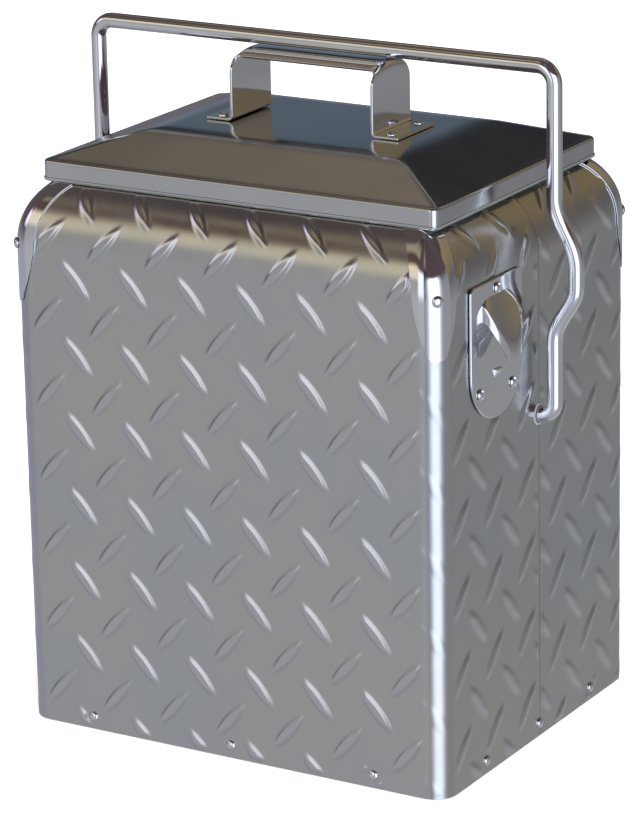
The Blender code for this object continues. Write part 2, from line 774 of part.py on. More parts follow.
def opener_screw(name, y, z):
    """A pan-head screw with its point in the insulation's pocket."""
    face = HALF_W + GAP + OPENER_T + GAP
    profile = [
        (0, 1.5 * MM), (2.0 * MM, 1.45 * MM), (2.9 * MM, 1.0 * MM), (3.3 * MM, 0.3 * MM), (3.3 * MM, 0),
        (1.6 * MM, 0), (1.6 * MM, -7 * MM), (0.5 * MM, -8.5 * MM), (0, -8.5 * MM),
    ]
    turned(name, profile, pointing((face, y, z), (1, 0, 0)), CHROME, 12)


# ---------------------------------------------------------------- assembly

def build_body(tools):
    front = shell_half("front_shell", -1)
    rear = shell_half("rear_shell", 1)
    front_base = [tool for tool, (spot, _) in zip(tools["base"], base_rivet_places()) if spot.y < 1 * MM]
    rear_base = [tool for tool, (spot, _) in zip(tools["base"], base_rivet_places()) if spot.y > -1 * MM]
    front_caps = [tool for tool, (spot, _) in zip(tools["cap"], cap_rivet_places()) if spot.y < 0]
    rear_caps = [tool for tool, (spot, _) in zip(tools["cap"], cap_rivet_places()) if spot.y > 0]
    cut(front, front_base + front_caps + tools["pivot"] + tools["screw"])
    cut(rear, rear_base + rear_caps + tools["pivot"])
    seam_strip("seam_strip_left", -1, tools)
    seam_strip("seam_strip_right", 1, tools)
    base_pan(tools)
    liner()
    foam_insulation()


def build_fasteners(tools):
    for index, (spot, out) in enumerate(base_rivet_places()):
        face = spot + Vector(out) * GAP
        shank = SHEET + PAN_T + 3 * GAP
        rivet("base_rivet_%02d" % (index + 1), face, out, 3.0 * MM, 1.5 * MM, shank, 2.2 * MM, 0.8 * MM)
    for index, (spot, out) in enumerate(cap_rivet_places()):
        sign_x, sign_y = (1 if out.x > 0 else -1), (1 if out.y > 0 else -1)
        where = ("front" if sign_y < 0 else "rear") + ("_right" if sign_x > 0 else "_left")
        corner_cap("corner_cap_" + where, sign_x, sign_y, tools["cap"][index])
        face = spot + out * (CAP_GAP + CAP_T + GAP)
        shank = CAP_GAP + CAP_T + SHEET + 2 * GAP
        rivet("cap_rivet_" + where, face, out, 3.3 * MM, 1.8 * MM, shank, 2.0 * MM, 0.5 * MM)


def build_lid():
    holes = lid_outer()
    lid_inner()
    lid_foam()
    lid_gasket()
    lid_bracket(holes)
    foot_top = CROWN_Z + GAP + STRAP_T + GAP
    for index, (sign_x, sign_y) in enumerate(((-1, -1), (-1, 1), (1, -1), (1, 1))):
        where = ("front" if sign_y < 0 else "rear") + ("_right" if sign_x > 0 else "_left")
        spot = (sign_x * FOOT_RIVET.x, sign_y * FOOT_RIVET.y, foot_top)
        shank = STRAP_T + SHEET + 3 * GAP
        rivet("bracket_rivet_" + where, spot, (0, 0, 1), 3.2 * MM, 1.8 * MM, shank, 2.2 * MM, 0.8 * MM)


def build_bail():
    bail_handle()
    for side, where in ((-1, "left"), (1, "right")):
        pivot_bush("pivot_bush_" + where, side)
        bail_clip("bail_clip_" + where, side)


def build_opener(tools):
    opener_plate(tools)
    for index, (y, z) in enumerate(SCREWS):
        opener_screw("opener_screw_%d" % (index + 1), y, z)


HOLES = hole_cutters()
build_body(HOLES)
build_fasteners(HOLES)
build_lid()
build_bail()
build_opener(HOLES)
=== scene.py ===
"""Looks of the cooler chest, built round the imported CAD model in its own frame."""

import math

import bmesh
import bpy
import numpy as np
from mathutils import Matrix, Vector


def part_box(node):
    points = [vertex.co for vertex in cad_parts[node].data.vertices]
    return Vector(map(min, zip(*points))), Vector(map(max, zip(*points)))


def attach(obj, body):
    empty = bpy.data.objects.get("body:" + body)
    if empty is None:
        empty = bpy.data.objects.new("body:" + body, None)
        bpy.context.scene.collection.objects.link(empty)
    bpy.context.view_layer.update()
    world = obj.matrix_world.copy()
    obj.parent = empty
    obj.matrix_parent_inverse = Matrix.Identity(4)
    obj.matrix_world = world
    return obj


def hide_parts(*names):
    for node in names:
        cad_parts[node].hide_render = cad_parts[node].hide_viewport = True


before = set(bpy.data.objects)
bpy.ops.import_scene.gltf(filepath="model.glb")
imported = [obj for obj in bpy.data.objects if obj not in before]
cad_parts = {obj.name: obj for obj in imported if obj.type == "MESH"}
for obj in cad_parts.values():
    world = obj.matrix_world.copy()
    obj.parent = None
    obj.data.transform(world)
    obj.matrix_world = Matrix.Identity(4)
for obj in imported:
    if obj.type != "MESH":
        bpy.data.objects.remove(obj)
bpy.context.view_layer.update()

MM = 0.001
CHEST, LID, BAIL = "chest", "lid", "bail"
RIGHT_ANGLE = math.pi / 2

# Driving sizes, read from the frame where a node gives them.
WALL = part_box("front_shell")
HALF_W = WALL[1].x
HALF_D = -WALL[0].y
MOUTH_Z = WALL[1].z
WALL_CORNER = 14 * MM
SHOULDER_Z = 288 * MM
SHOULDER_R = 40 * MM
SHEET = 1.0 * MM
SEAM = 0.15 * MM
SEAM_ROLL = 0.08 * MM
FOOT_LIFT = 0.3 * MM
GRID = 1.35 * MM
CORNER_STEPS = 10
NEAR_WALL = 12 * MM
PIVOT_Z = 195 * MM
BUSH_R = 6.5 * MM

# Raised lugs of the tread plate: two families of lens shapes on one lattice.
LUG_PITCH_U = 38.6 * MM
LUG_PITCH_V = 45 * MM
LUG_HALF_LENGTH = 17.5 * MM
LUG_HALF_WIDTH = 4.0 * MM
LUG_HEIGHT = 0.9 * MM
LUG_ANGLE = math.radians(48.5)
LUG_FAMILIES = ((-96.5 * MM, 271.8 * MM, -1), (-77 * MM, 293.6 * MM, 1))
REAR_LUG_SHIFT = 12 * MM

# Lugs fade in between these distances from each place where the plate is pressed flat.
FADE_FLAT = (0.5 * MM, 3 * MM)
FADE_SEAM = (0.5 * MM, 3.5 * MM)
FADE_MOUTH = (1 * MM, 4 * MM)
FADE_FOOT = (1 * MM, 4.5 * MM)
FADE_CORNER = (8 * MM, 15 * MM)
CORNER_LUGS = 0.2

# Corner caps.
CAP_GAP = 0.3 * MM
CAP_T = 0.6 * MM
CAP_TIP_Z = 254 * MM
CAP_SPREAD = ((258, 5.5), (265, 8.5), (274, 11.5), (283, 13.5), (292, 14.5), (302, 14.5), (320, 13.5))

# Lid.
LID_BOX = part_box("lid_outer")
LID_HALF_W = LID_BOX[1].x
LID_HALF_D = LID_BOX[1].y
SKIRT_LOW = LID_BOX[0].z
CROWN_Z = LID_BOX[1].z
SKIRT_TOP = 334.5 * MM
CROWN_HALF_W = 72 * MM
CROWN_HALF_D = 43 * MM

# Bail.
ROD_R = 4.5 * MM
BAR_Z = 395.5 * MM
LEG_X = 150 * MM
LEG_KINK = 13.5 * MM
KINK_Z = (240 * MM, 272 * MM, 283 * MM, 322 * MM)

# (head radius, head height) in millimetres of each kind of rivet.
RIVET_HEADS = {"base": (3.0, 1.5), "cap": (3.3, 1.8), "bracket": (3.2, 1.8)}

# Opener.
OPENER_Y = -52.5 * MM
OPENER_HALF = 29.5 * MM
OPENER_TOP = 288 * MM
OPENER_ARC_Z = 238 * MM
OPENER_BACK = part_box("opener_plate")[0].x
OPENER_T = 1.6 * MM


# ---------------------------------------------------------------- node helpers

class Nodes:
    """A small builder for a shader's node tree."""

    def __init__(self, tree):
        self.tree = tree

    def add(self, kind, inputs=None, **settings):
        node = self.tree.nodes.new(kind)
        for key, value in settings.items():
            setattr(node, key, value)
        for key, value in (inputs or {}).items():
            self.put(node.inputs[key], value)
        return node

    def put(self, socket, value):
        if isinstance(value, bpy.types.NodeSocket):
            self.tree.links.new(value, socket)
        else:
            socket.default_value = value

    def math(self, operation, *values):
        node = self.add("ShaderNodeMath", operation=operation)
        for socket, value in zip(node.inputs, values):
            self.put(socket, value)
        return node.outputs[0]

    def mix(self, factor, first, second):
        node = self.add("ShaderNodeMix", data_type="RGBA")
        for name, value in (("Factor", factor), ("A", first), ("B", second)):
            socket = next(s for s in node.inputs if s.name == name and s.enabled)
            self.put(socket, value)
        return next(s for s in node.outputs if s.enabled)

    def noise(self, vector, scale, detail=3.0, roughness=0.55):
        made = self.add("ShaderNodeTexNoise", {"Vector": vector, "Scale": scale, "Detail": detail,
                                               "Roughness": roughness})
        return made.outputs["Fac"]

    def spread(self, value, low, high):
        """A noise value's usual range, 0.3 to 0.7, mapped to low and high."""
        made = self.add("ShaderNodeMapRange", {"Value": value, "From Min": 0.3, "From Max": 0.7,
                                               "To Min": low, "To Max": high})
        return made.outputs["Result"]

    def mottled(self, place, scale, detail, dark, light):
        """Two colours in soft patches."""
        return self.mix(self.spread(self.noise(place, scale, detail), 0, 1), dark, light)

    def ramp(self, factor, stops):
        node = self.add("ShaderNodeValToRGB", {"Fac": factor})
        elements = node.color_ramp.elements
        while len(elements) < len(stops):
            elements.new(0.5)
        for element, (place, colour) in zip(elements, stops):
            element.position = place
            element.color = (*colour, 1)
        return node.outputs["Color"]

    def stretched(self, scale=(1, 1, 1)):
        """Object coordinates stretched by a scale on each axis."""
        place = self.add("ShaderNodeTexCoord").outputs["Object"]
        return self.add("ShaderNodeMapping", {"Vector": place, "Scale": scale}).outputs["Vector"]

    def bump(self, height, strength, distance, normal=None):
        inputs = {"Height": height, "Strength": strength, "Distance": distance}
        if normal is not None:
            inputs["Normal"] = normal
        return self.add("ShaderNodeBump", inputs).outputs["Normal"]


def new_material(name):
    made = bpy.data.materials.new(name)
    made.use_nodes = True
    nodes = Nodes(made.node_tree)
    return made, nodes, made.node_tree.nodes["Principled BSDF"]


def shade(colour, amount):
    return (*[channel * amount for channel in colour], 1)


def metal(name, colour, roughness, cloud=0.1, wave=0.0, grain=(900, 900, 900), grain_depth=0.00002):
    """A sheet or plated metal: clouded tone, smudged gloss, a fine grain and a slow wave in the sheet."""
    patch_scale, smudge_scale, wave_scale = 11, 28, 14
    made, nodes, shader = new_material(name)
    even = nodes.stretched()
    dark, light = shade(colour, 1 - cloud), shade(colour, 1 + cloud * 0.6)
    nodes.put(shader.inputs["Base Color"], nodes.mottled(even, patch_scale, 3, dark, light))
    shader.inputs["Metallic"].default_value = 1
    smudge = nodes.spread(nodes.noise(even, smudge_scale, 4), roughness * 0.75, roughness * 1.3)
    nodes.put(shader.inputs["Roughness"], smudge)
    normal = nodes.bump(nodes.noise(nodes.stretched(grain), 1, 2), 0.5, grain_depth)
    if wave:
        normal = nodes.bump(nodes.noise(even, wave_scale, 1, 0.4), 1, wave, normal)
    nodes.put(shader.inputs["Normal"], normal)
    return made


def tread_plate():
    """Tread plate: bright worn lug tops over a duller ground, with fine scuffs and a slow wave."""
    patch_scale, smudge_scale, wave_scale = 9, 34, 12
    cool, warm, lug_top = (0.50, 0.52, 0.55, 1), (0.56, 0.545, 0.51, 1), (0.57, 0.575, 0.59, 1)
    made, nodes, shader = new_material("tread_plate")
    even = nodes.stretched()
    lug = nodes.add("ShaderNodeAttribute", attribute_name="lug").outputs["Fac"]
    ground = nodes.mottled(even, patch_scale, 4, cool, warm)
    nodes.put(shader.inputs["Base Color"], nodes.mix(lug, ground, lug_top))
    shader.inputs["Metallic"].default_value = 1
    smudge = nodes.spread(nodes.noise(even, smudge_scale, 5, 0.65), 0.20, 0.29)
    nodes.put(shader.inputs["Roughness"], nodes.math("MULTIPLY_ADD", lug, -0.07, smudge))
    scuffs = nodes.noise(nodes.stretched((260, 260, 1400)), 1, 3, 0.6)
    normal = nodes.bump(scuffs, 0.35, 0.00003)
    normal = nodes.bump(nodes.noise(even, wave_scale, 1, 0.4), 1, 0.0009, normal)
    nodes.put(shader.inputs["Normal"], normal)
    return made


def moulded(name, colour, roughness, mottle=0.06):
    """A moulded plastic or rubber: slight mottle and a fine moulded texture."""
    patch_scale, gloss_scale, texture_scale = 16, 60, 420
    made, nodes, shader = new_material(name)
    even = nodes.stretched()
    dark, light = shade(colour, 1 - mottle), shade(colour, 1)
    nodes.put(shader.inputs["Base Color"], nodes.mottled(even, patch_scale, 4, dark, light))
    gloss = nodes.spread(nodes.noise(even, gloss_scale, 3), roughness * 0.85, roughness * 1.15)
    nodes.put(shader.inputs["Roughness"], gloss)
    nodes.put(shader.inputs["Normal"], nodes.bump(nodes.noise(even, texture_scale, 2), 0.3, 0.00012))
    return made


def foam_material():
    """Rigid foam: small cells in a warm yellow, with painted shade darkening the hollow of each cell."""
    cell_scale, shaded_pit, skin = 260, (0.68, 0.60, 0.36, 1), (0.86, 0.79, 0.55, 1)
    made, nodes, shader = new_material("rigid_foam")
    cells = nodes.add("ShaderNodeTexVoronoi", {"Vector": nodes.stretched(), "Scale": cell_scale})
    depth = cells.outputs["Distance"]
    # Painted shade: each cell's colour darkens towards its hollow, where the bump sinks.
    nodes.put(shader.inputs["Base Color"], nodes.mix(depth, shaded_pit, skin))
    shader.inputs["Roughness"].default_value = 0.95
    nodes.put(shader.inputs["Normal"], nodes.bump(depth, 0.7, 0.0006))
    return made


TREAD = tread_plate()
CHROME = metal("bright_chrome", (0.74, 0.75, 0.78), 0.07, cloud=0.05, grain_depth=0.000006)
LID_STEEL = metal("lid_steel", (0.56, 0.57, 0.59), 0.15, cloud=0.10, wave=0.0005, grain=(160, 1500, 900))
GALVANISED = metal("galvanised", (0.46, 0.47, 0.48), 0.42, cloud=0.22, grain=(300, 300, 300))
PLASTIC = moulded("liner_plastic", (0.76, 0.86, 0.79), 0.35)
RUBBER = moulded("seal_rubber", (0.045, 0.045, 0.045), 0.7, mottle=0.3)
NYLON = moulded("grey_nylon", (0.34, 0.34, 0.35), 0.45, mottle=0.2)
FOAM = foam_material()


# ---------------------------------------------------------------- mesh helpers

def add_piece(name, mesh_data, material, body, replaced=(), smooth_deg=35):
    """Links a mesh as a visible piece that rides on a body, in place of the nodes that it replaces."""
    mesh_data.materials.append(material)
    mesh_data.shade_smooth()
    if smooth_deg:
        mesh_data.set_sharp_from_angle(angle=math.radians(smooth_deg))
    piece = bpy.data.objects.new(name, mesh_data)
    bpy.context.scene.collection.objects.link(piece)
    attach(piece, body)
    for node in replaced:
        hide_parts(node)
    return piece


def rework(mesh_data, change):
    """Runs a change on a mesh while it is open as a bmesh."""
    shape = bmesh.new()
    shape.from_mesh(mesh_data)
    change(shape)
    shape.to_mesh(mesh_data)
    shape.free()


def face_outward(shape):
    bmesh.ops.recalc_face_normals(shape, faces=shape.faces)


def join_doubles(shape):
    bmesh.ops.remove_doubles(shape, verts=shape.verts, dist=1e-6)
    face_outward(shape)


def drop_loose(shape):
    loose = [vert for vert in shape.verts if not vert.link_faces]
    bmesh.ops.delete(shape, geom=loose, context="VERTS")


def mesh_from(name, points, faces):
    mesh_data = bpy.data.meshes.new(name)
    mesh_data.from_pydata([tuple(point) for point in points], [], faces)
    mesh_data.validate()
    rework(mesh_data, face_outward)
    return mesh_data


def loft(name, rings, cap_first=False, cap_last=False, closed=True):
    """Joins each ring of points to the next with faces. Rings that aren't closed make a strip."""
    count = len(rings[0])
    points = [point for ring in rings for point in ring]
    faces = []
    for row in range(len(rings) - 1):
        for index in range(count if closed else count - 1):
            after = (index + 1) % count
            low, high = row * count, (row + 1) * count
            faces.append((low + index, low + after, high + after, high + index))
    if cap_first:
        faces.append(tuple(range(count))[::-1])
    if cap_last:
        faces.append(tuple(range(len(points) - count, len(points))))
    return mesh_from(name, points, faces)


def turn_to_face(mesh_data, facing):
    """Turns an open surface over if, on the whole, it looks away from facing."""
    facing = Vector(facing)
    if sum(face.normal.dot(facing) * face.area for face in mesh_data.polygons) < 0:
        mesh_data.flip_normals()


def thicken(piece, thickness, offset=-1.0, bevel=0.0):
    solid = piece.modifiers.new("thickness", "SOLIDIFY")
    solid.thickness = thickness
    solid.offset = offset
    solid.use_even_offset = True
    if bevel:
        soften(piece, bevel)


def settle(piece, smooth_deg=35):
    """Applies the modifiers, so that edges the thickness made are sharp where they turn."""
    graph = bpy.context.evaluated_depsgraph_get()
    solid = bpy.data.meshes.new_from_object(piece.evaluated_get(graph))
    piece.modifiers.clear()
    piece.data = solid
    solid.set_sharp_from_angle(angle=math.radians(smooth_deg))


def soften(piece, width, segments=2):
    bevel = piece.modifiers.new("edges", "BEVEL")
    bevel.width = width
    bevel.segments = segments
    bevel.limit_method = "ANGLE"
    bevel.angle_limit = math.radians(40)
    bevel.harden_normals = True


def round_turns(count):
    """Evenly spaced angles, once round a circle."""
    return [math.tau * step / count for step in range(count)]


def arc_points(centre, radius, start, stop, steps):
    turns = [start + (stop - start) / steps * step for step in range(steps + 1)]
    return [(centre[0] + radius * math.cos(turn), centre[1] + radius * math.sin(turn)) for turn in turns]


def quarter_bend(radius, steps):
    """(inward, along) offsets round a quarter bend, after its start."""
    turns = [RIGHT_ANGLE * step / steps for step in range(1, steps + 1)]
    return [(radius * (1 - math.cos(turn)), radius * math.sin(turn)) for turn in turns]


def eased(share, ease):
    """A share that rises evenly as far as ease, then levels off towards 1."""
    rise = share if share < ease else share - (share - ease) ** 2 / (2 * (1 - ease))
    return rise / ((1 + ease) / 2)


def ring_at(half_w, half_d, radius, z):
    """A rounded rectangle in plan at one height."""
    outline = []
    for corner in range(4):
        sign_x = 1 if corner in (0, 3) else -1
        sign_y = 1 if corner in (0, 1) else -1
        centre = (sign_x * (half_w - radius), sign_y * (half_d - radius))
        start = corner * RIGHT_ANGLE
        outline += arc_points(centre, radius, start, start + RIGHT_ANGLE, CORNER_STEPS)
    return [(x, y, z) for x, y in outline]


def body_ring(inset, z, radius):
    """A ring at an inset from the body's outline."""
    return ring_at(HALF_W - inset, HALF_D - inset, radius, z)


def turned_rings(profile, centre, direction, segments):
    """Rings of a turned shape from (radius, height) points, heights along direction from centre."""
    turn = Vector(direction).to_track_quat("Z", "Y").to_matrix().to_4x4()
    place = Matrix.Translation(centre) @ turn
    return [[place @ Vector((radius * math.cos(angle), radius * math.sin(angle), height))
             for angle in round_turns(segments)] for radius, height in profile]


def smoothstep(value, low, high):
    share = np.clip((value - low) / (high - low), 0, 1)
    return share * share * (3 - 2 * share)


# ---------------------------------------------------------------- tread-plate walls

def shoulder_inset(z, out=0.0):
    """How far in the wall's face is at a height, for a face that stands out from it."""
    if z <= SHOULDER_Z:
        return -out
    reach = SHOULDER_R + out
    return SHOULDER_R - math.sqrt(reach * reach - (z - SHOULDER_Z) ** 2)


def cap_spread(z):
    """Half the cap's developed width at a height, with a round tip."""
    table = [(height * MM, spread * MM) for height, spread in CAP_SPREAD]
    first_z, first_spread = table[0]
    if z < first_z:
        drop = min(1, (first_z - z) / (first_z - CAP_TIP_Z))
        return first_spread * math.sqrt(1 - drop * drop)
    for (low, narrow), (high, wide) in zip(table, table[1:]):
        if z <= high:
            return narrow + (wide - narrow) * (z - low) / (high - low)
    return table[-1][1]


def wall_rows():
    """(inset, z, tilt, developed height) up the wall and over the shoulder."""
    rows = []
    count = round(SHOULDER_Z / GRID)
    for step in range(count):
        z = max(FOOT_LIFT, SHOULDER_Z * step / count)
        rows.append((0, z, 0, z))
    sweep = math.asin((MOUTH_Z - SHOULDER_Z) / SHOULDER_R)
    count = round(SHOULDER_R * sweep / GRID)
    for step in range(count + 1):
        tilt = sweep * step / count
        rows.append((SHOULDER_R * (1 - math.cos(tilt)), SHOULDER_Z + SHOULDER_R * math.sin(tilt), tilt,
                     SHOULDER_Z + SHOULDER_R * tilt))
    return rows


def wall_columns(inset):
    """Arrays of x, depth, normal and developed width from the right seam round to the left seam."""
    radius = WALL_CORNER - 0.5 * inset
    half_w, half_d = HALF_W - inset, HALF_D - inset
    side_steps = round((HALF_D - WALL_CORNER) / GRID)
    arc_steps = round(WALL_CORNER * RIGHT_ANGLE / GRID)
    front_steps = round(2 * (HALF_W - WALL_CORNER) / GRID)
    side = np.linspace(0, 1, side_steps, endpoint=False)
    arc = np.linspace(0, RIGHT_ANGLE, arc_steps, endpoint=False)
    front = np.linspace(1, 0, front_steps, endpoint=False)
    x = np.concatenate([np.full(side_steps, half_w), half_w - radius + radius * np.cos(arc),
                        front * (half_w - radius)])
    depth = np.concatenate([SEAM + side * (half_d - radius - SEAM), half_d - radius + radius * np.sin(arc),
                            np.full(front_steps, half_d)])
    normal_x = np.concatenate([np.ones(side_steps), np.cos(arc), np.zeros(front_steps)])
    normal_y = np.concatenate([np.zeros(side_steps), np.sin(arc), np.ones(front_steps)])
    arc_length = WALL_CORNER * RIGHT_ANGLE
    flat = HALF_W - WALL_CORNER
    width = np.concatenate([flat + arc_length + (1 - side) * (HALF_D - WALL_CORNER),
                            flat + (RIGHT_ANGLE - arc) * WALL_CORNER, front * flat])

    def both_sides(right, middle, sign):
        return np.concatenate([right, [middle], sign * right[::-1]])

    return (both_sides(x, 0, -1), both_sides(depth, half_d, 1), both_sides(normal_x, 0, -1),
            both_sides(normal_y, 1, 1), both_sides(width, 0, -1))


def lug_field(width, height, shift):
    """Lug height from 0 to 1 over arrays of developed width and height."""
    field = np.zeros_like(width)
    for start_u, start_v, lean in LUG_FAMILIES:
        u = (width - start_u - shift + LUG_PITCH_U / 2) % LUG_PITCH_U - LUG_PITCH_U / 2
        v = (height - start_v + LUG_PITCH_V / 2) % LUG_PITCH_V - LUG_PITCH_V / 2
        along = u * math.cos(LUG_ANGLE) + lean * v * math.sin(LUG_ANGLE)
        across = -u * math.sin(LUG_ANGLE) + lean * v * math.cos(LUG_ANGLE)
        reach = np.sqrt((along / LUG_HALF_LENGTH) ** 2 + (across / LUG_HALF_WIDTH) ** 2)
        field = np.maximum(field, smoothstep(1 - reach, 0, 0.5))
    return field


def fastener_spots(side):
    """(centre, flat radius, hole radius) of each place where this wall has a hole."""
    rivet_spot, bush_spot = (5.5 * MM, 2.1 * MM), (12 * MM, BUSH_R + 0.3 * MM)
    spots = []
    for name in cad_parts:
        if not name.startswith(("base_rivet", "cap_rivet", "opener_screw", "pivot_bush")):
            continue
        low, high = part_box(name)
        centre = (low + high) / 2
        if centre.y * side >= -1 * MM:
            spots.append((centre, *(bush_spot if name.startswith("pivot_bush") else rivet_spot)))
    return spots


def spot_axis(centre):
    """Which way a wall's fastener points: along X, along Y or out of a corner."""
    near_x = abs(centre.x) > HALF_W - NEAR_WALL
    near_y = abs(centre.y) > HALF_D - NEAR_WALL
    return Vector((math.copysign(near_x, centre.x), math.copysign(near_y, centre.y), 0)).normalized()


def flatten(field, points, width, height, side, spots):
    """Takes the lugs away under caps, opener, fasteners and mouth, where the plate is pressed flat."""
    corner = HALF_W - WALL_CORNER + WALL_CORNER * RIGHT_ANGLE / 2
    from_corner = np.abs(np.abs(width) - corner)
    spread = np.array([cap_spread(z) if z > CAP_TIP_Z else -4 * MM for z in points[:, 0, 2]])[:, None]
    field *= smoothstep(from_corner - spread, *FADE_FLAT)
    field *= CORNER_LUGS + (1 - CORNER_LUGS) * smoothstep(from_corner, *FADE_CORNER)
    field *= smoothstep(np.abs(width).max() - np.abs(width), *FADE_SEAM)
    top = SHOULDER_Z + SHOULDER_R * math.asin((MOUTH_Z - SHOULDER_Z) / SHOULDER_R)
    field *= smoothstep(top - height, *FADE_MOUTH) * smoothstep(height, *FADE_FOOT)
    for centre, flat_radius, _ in spots:
        axis = spot_axis(centre)
        away = points - np.array(centre)
        along = away @ np.array(axis)
        reach = np.sqrt(np.maximum(0, (away ** 2).sum(axis=2) - along ** 2))
        near = np.abs(along) < NEAR_WALL
        field *= np.where(near, smoothstep(reach, flat_radius - 1.5 * MM, flat_radius + 1 * MM), 1)
    if side < 0:
        on_wall = points[:, :, 0] > HALF_W - 1 * MM
        y, z = np.abs(points[:, :, 1] - OPENER_Y), points[:, :, 2]
        below = np.hypot(y, np.minimum(0, z - OPENER_ARC_Z)) - OPENER_HALF
        outside = np.maximum(below, z - OPENER_TOP)
        field *= np.where(on_wall, smoothstep(outside, *FADE_FLAT), 1)


def punch(points, spots):
    """Snaps grid points near each hole onto its rim. Returns which points lie inside a hole."""
    snap_in, snap_out = 0.55 * GRID, 0.45 * GRID
    inside = np.zeros(points.shape[:2], bool)
    for centre, _, hole in spots:
        axis = np.array(spot_axis(centre))
        away = points - np.array(centre)
        along = (away @ axis)[:, :, None]
        flat = away - along * axis
        reach = np.linalg.norm(flat, axis=2, keepdims=True)
        near = np.abs(along) < NEAR_WALL
        rim = near & (reach < hole + snap_out) & (reach > hole - snap_in)
        points += np.where(rim, flat * (hole / np.maximum(reach, 1e-6) - 1), 0)
        inside |= (near & (reach <= hole + snap_out))[:, :, 0]
    return inside


def tread_wall(name, node, side, shift):
    """One half of the body, from seam to seam, with real raised lugs."""
    rows = wall_rows()
    spots = fastener_spots(side)
    points, normals, widths, heights = [], [], [], []
    for inset, z, tilt, developed in rows:
        x, depth, normal_x, normal_y, width = wall_columns(inset)
        points.append(np.stack([x, side * depth, np.full_like(x, z)], axis=1))
        normals.append(np.stack([normal_x * math.cos(tilt), side * normal_y * math.cos(tilt),
                                 np.full_like(x, math.sin(tilt))], axis=1))
        widths.append(width)
        heights.append(np.full_like(x, developed))
    points, normals = np.array(points), np.array(normals)
    widths, heights = np.array(widths), np.array(heights)
    field = lug_field(widths, heights, shift)
    flatten(field, points, widths, heights, side, spots)
    points += normals * (field * LUG_HEIGHT)[:, :, None]
    # The two seam edges roll in a little.
    for column in (0, -1):
        points[:, column] -= normals[:, column] * SEAM_ROLL
    inside = punch(points, spots)
    count = points.shape[1]
    keep = ~(inside[:-1, :-1] & inside[1:, :-1] & inside[:-1, 1:] & inside[1:, 1:])
    low, left = np.nonzero(keep)
    first = low * count + left
    quads = np.stack([first, first + 1, first + count + 1, first + count], axis=1)
    if side > 0:
        quads = quads[:, ::-1]
    mesh_data = bpy.data.meshes.new(name)
    mesh_data.from_pydata(points.reshape(-1, 3).tolist(), [], quads[:, ::-1].tolist())
    lug = mesh_data.attributes.new("lug", "FLOAT", "POINT")
    lug.data.foreach_set("value", field.reshape(-1).astype(np.float32))
    rework(mesh_data, drop_loose)
    piece = add_piece(name, mesh_data, TREAD, CHEST, [node], smooth_deg=0)
    thicken(piece, SHEET)
    settle(piece, 50)


# ---------------------------------------------------------------- corner caps

def cap_point(share, spread, inset, sign_x, sign_y):
    """A point on the body's outline, at a share of the spread from the corner's middle."""
    radius = WALL_CORNER - 0.5 * max(0, inset) + CAP_GAP
    half_w, half_d = HALF_W - inset, HALF_D - inset
    half_arc = radius * math.pi / 4
    along = spread * share
    angle = math.pi / 4 + max(-half_arc, min(half_arc, along)) / radius
    x = half_w - radius + radius * math.cos(angle)
    y = half_d - radius + radius * math.sin(angle)
    if along > half_arc:
        x -= along - half_arc
    elif along < -half_arc:
        y -= -half_arc - along
    return sign_x * x, sign_y * y


def corner_cap(name, sign_x, sign_y):
    """A pressed cap over the corner, with a tongue down the edge."""
    low, high, narrowest = CAP_TIP_Z + 0.25 * MM, MOUTH_Z - 0.9 * MM, 0.6 * MM
    rows, half_columns = 40, 12
    rings = []
    for row in range(rows + 1):
        z = low + (high - low) * (row / rows) ** 1.25
        spread = max(narrowest, cap_spread(z))
        inset = shoulder_inset(z, CAP_GAP)
        rings.append([(*cap_point(column / half_columns, spread, inset, sign_x, sign_y), z)
                      for column in range(-half_columns, half_columns + 1)])
    mesh_data = loft("cap_" + name, rings, closed=False)
    turn_to_face(mesh_data, (sign_x, sign_y, 0))
    piece = add_piece("cap_" + name, mesh_data, CHROME, CHEST, ["corner_cap_" + name])
    thicken(piece, CAP_T, 1)
    settle(piece)


# ---------------------------------------------------------------- fasteners

def dome(node, direction, head_r, head_h, body):
    """A rivet with a smooth domed head, placed by its CAD node's outermost point or by its cap."""
    shank_r, shank_length, rim_z, under_z, lift = 1.6 * MM, -3 * MM, -0.05 * MM, -0.25 * MM, 0.3 * MM
    crown_turn, rim_turn = 1.45, 0.12
    low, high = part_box(node)
    axis = Vector(direction).normalized()
    middle = (low + high) / 2
    corners = [Vector((x, y, z)) for x in (low.x, high.x) for y in (low.y, high.y) for z in (low.z, high.z)]
    if min(abs(axis.x), abs(axis.y)) < 0.1:
        top = max(corner.dot(axis) for corner in corners)
    else:
        spot = Vector((math.copysign(HALF_W - WALL_CORNER, axis.x),
                       math.copysign(HALF_D - WALL_CORNER, axis.y), 0))
        top = spot.dot(axis) + WALL_CORNER + CAP_GAP + CAP_T + lift + head_h
    base = middle + axis * (top - head_h - middle.dot(axis))
    profile = [(head_r * math.cos(turn), head_h * math.sin(turn))
               for turn in np.linspace(crown_turn, rim_turn, 9)]
    profile += [(head_r, rim_z), (head_r * 0.96, under_z), (shank_r, under_z), (shank_r, shank_length)]
    mesh_data = loft(node, turned_rings(profile, base, axis, 28), True, True)
    add_piece("head_" + node, mesh_data, CHROME, body, [node])


def rivets():
    for node in sorted(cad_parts):
        kind = node.split("_rivet_")[0]
        if kind not in RIVET_HEADS:
            continue
        low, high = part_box(node)
        radius, height = RIVET_HEADS[kind]
        if kind == "bracket":
            dome(node, (0, 0, 1), radius * MM, height * MM, LID)
        else:
            dome(node, spot_axis((low + high) / 2), radius * MM, height * MM, CHEST)


